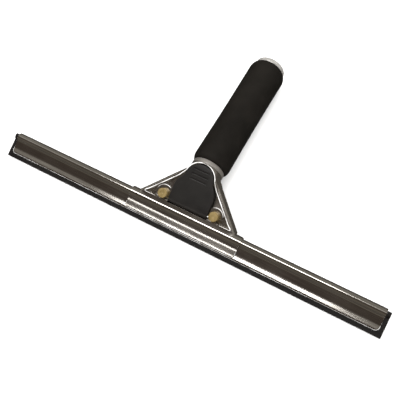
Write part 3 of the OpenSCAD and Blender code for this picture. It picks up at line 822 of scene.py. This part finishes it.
def build_end_cap():
    """The rounded metal ring at the handle's end, open for a pole."""
    mouth, end = SOCKET_R + 0.5, GRIP_END + CAP_L
    profile = [(mouth, GRIP_END - CAP_SKIRT), (TUBE_BORE_R, GRIP_END - CAP_SKIRT)]
    profile += [(TUBE_BORE_R, GRIP_END + FACE_GAP), (CAP_R - 0.25, GRIP_END + FACE_GAP)]
    profile += [(CAP_R, GRIP_END + 0.3)]
    profile += arc(CAP_R - CAP_ROUND, end - CAP_ROUND, CAP_ROUND, 0, 90, 12)
    profile += arc(mouth + CAP_MOUTH_ROUND, end - CAP_MOUTH_ROUND, CAP_MOUTH_ROUND, 90, 180, 6)
    obj = place(lathe("polished_end_cap", profile, 128), HANDLE)
    # the cap takes the lighter steel with its painted highlight
    return finish_piece(obj, "head", "polished_steel", ["end_cap"], 50, "painted_highlight_cap_steel")


def build_collar():
    """The satin ring between the head and the grip, with rounded edges."""
    edge, turn = NECK_R - COLLAR_ROUND, COLLAR_ROUND
    profile = [(TUBE_BORE_R, FACE_GAP), *arc(edge, FACE_GAP + turn, turn, -90, 0, 5)]
    profile += [*arc(edge, COLLAR_L - turn, turn, 0, 90, 5), (TUBE_BORE_R, COLLAR_L)]
    obj = lathe("satin_neck_ring", profile, 128)
    return finish_piece(place(obj, HANDLE), "head", "satin_steel", ["neck_collar"], 50)


def build_fitting(node_name, name, body, slot, width):
    """A small fitting: the CAD node's solid with softly rounded edges."""
    obj = weld(copy_of_node(node_name, name), 1e-6)
    bevel(obj, width * MM, 2, 40)
    return finish_piece(obj, body, slot, [node_name])


def dress_cad(node_name, slot):
    """Gives a CAD node that stays in view its material."""
    obj = frame["nodes"][node_name]
    obj.data.materials.clear()
    obj.data.materials.append(MATERIALS[slot])


# ---------------------------------------------------------------- studio
# camera in the head frame: place in millimetres, turns in degrees about Y, X and Z
CAMERA_AT = (142.2, 13.8, 472.1)
CAMERA_TURN = (16.165, 0.46, 25.248)
CAMERA_LENS = 53.26

# lights in the row frame, metres and watts
SOFTBOX_AT, SOFTBOX_SIZE, SOFTBOX_POWER = (-0.18, -0.11, 1.0), (0.62, 0.20), 2.6
CEILING_AT, CEILING_SIZE, CEILING_POWER = (0.0, -0.2, 2.2), (9.0, 9.0), 560
FLOOR_HALF, FLOOR_GAP = 12.0, 0.0004

# the room's colour by the angle from straight up, in degrees, towards the front when negative
ROOM = (
    (-90, (0.11, 0.10, 0.088)),
    (-60, (0.16, 0.145, 0.118)),
    (-42, (0.11, 0.096, 0.078)),
    (-30, (0.070, 0.056, 0.046)),
    (-15, (0.064, 0.051, 0.042)),
    (-10, (0.24, 0.225, 0.20)),
    (-6, (0.26, 0.245, 0.22)),
    (-2, (0.62, 0.60, 0.57)),
    (2, (0.62, 0.60, 0.57)),
    (7, (0.26, 0.25, 0.225)),
    (55, (0.27, 0.26, 0.235)),
    (78, (0.18, 0.17, 0.155)),
    (90, (0.10, 0.092, 0.082)),
)


def area_light(name, at, size, power, glossy=True):
    """A white rectangle that shines straight down."""
    data = bpy.data.lights.new(name, "AREA")
    data.shape = "RECTANGLE"
    data.size, data.size_y = size
    data.energy = power
    obj = bpy.data.objects.new(name, data)
    bpy.context.scene.collection.objects.link(obj)
    obj.location = at
    obj.visible_glossy = glossy
    return obj


def build_floor():
    """White paper just under the object, out of sight of the polished steel."""
    low, high = CAD_BOX
    centre = (low + high) / 2
    half = FLOOR_HALF
    corners = [(-half, -half, 0), (half, -half, 0), (half, half, 0), (-half, half, 0)]
    floor = make_mesh("studio_floor", corners, [(0, 1, 2, 3)])
    floor.location = (centre.x, centre.y, low.z - FLOOR_GAP)
    material, tree, shader = new_material("studio_paper")
    speck = noise(tree, 3.0, 3, 0.5)
    tree.links.new(ramp(tree, speck, [(0.3, 0.9), (0.7, 0.93)]), shader.inputs["Base Color"])
    shader.inputs["Roughness"].default_value = 0.9
    shader.inputs["Specular IOR Level"].default_value = 0.1
    floor.data.materials.append(material)
    floor.visible_glossy = False


def build_room():
    """A plain graded room, whose colour depends on the angle from straight up."""
    world = bpy.data.worlds.new("studio_world")
    bpy.context.scene.world = world
    world.use_nodes = True
    tree = world.node_tree
    background = tree.nodes["Background"]
    coordinates = tree.nodes.new("ShaderNodeTexCoord")
    split = tree.nodes.new("ShaderNodeSeparateXYZ")
    tree.links.new(coordinates.outputs["Generated"], split.inputs["Vector"])
    lean = tree.nodes.new("ShaderNodeMath")
    lean.operation = "ARCTAN2"
    tree.links.new(split.outputs["Y"], lean.inputs[0])
    tree.links.new(split.outputs["Z"], lean.inputs[1])
    spread = node(tree, "ShaderNodeMapRange")
    for socket, value in zip(("From Min", "From Max"), (-math.pi / 2, math.pi / 2)):
        spread.inputs[socket].default_value = value
    tree.links.new(lean.outputs[0], spread.inputs["Value"])
    room = [((angle + 90) / 180, colour) for angle, colour in ROOM]
    tree.links.new(ramp(tree, spread.outputs["Result"], room), background.inputs["Color"])
    background.inputs["Strength"].default_value = 1.0
    bpy.context.scene.view_settings.view_transform = "Standard"


def build_camera():
    """Looks down on the lever's side from over the blade's right half."""
    data = bpy.data.cameras.new("camera")
    data.sensor_width, data.lens = 36.0, CAMERA_LENS
    data.clip_start, data.clip_end = 0.01, 100
    camera = bpy.data.objects.new("camera", data)
    bpy.context.scene.collection.objects.link(camera)
    turn = HEAD.to_3x3().normalized()
    for angle, axis in zip(CAMERA_TURN, "YXZ"):
        turn = turn @ Matrix.Rotation(math.radians(angle), 3, axis)
    camera.matrix_world = Matrix.Translation(HEAD @ Vector(CAMERA_AT)) @ turn.to_4x4()
    bpy.context.scene.camera = camera


build_camera()
build_floor()
build_room()
area_light("overhead_softbox", SOFTBOX_AT, SOFTBOX_SIZE, SOFTBOX_POWER)
area_light("fill_ceiling", CEILING_AT, CEILING_SIZE, CEILING_POWER, glossy=False)
build_channel()
build_rubber()
build_upper_jaw()
build_lower_jaw()
build_head()
build_lever()
build_post("brass_post_left", -POST_X, "left_post")
build_post("brass_post_right", POST_X, "right_post")
build_cross_pin()
build_grip()
build_end_cap()
build_collar()
build_fitting("jaw_screws", "jaw_screw_pair", "head", "screw_steel", 0.1)
build_fitting("back_cover", "belly_cover", "head", "satin_steel", 0.2)
build_fitting("cover_screws", "cover_screw_pair", "head", "screw_steel", 0.08)
build_fitting("tube_pin", "handle_roll_pin", "head", "screw_steel", 0.1)
build_fitting("socket_liner", "nylon_socket_liner", "head", "liner_nylon", 0.2)
build_fitting("post_washers", "washer_pair", "lower_jaw", "satin_steel", 0.1)
build_fitting("post_nuts", "nut_pair", "lower_jaw", "brass", 0.25)
build_fitting("left_clip", "rubber_clip_left", "blade", "spring_steel", 0.05)
build_fitting("right_clip", "rubber_clip_right", "blade", "spring_steel", 0.05)
dress_cad("handle_tube", "tube_aluminium")
dress_cad("left_spring", "spring_steel")
dress_cad("right_spring", "spring_steel")
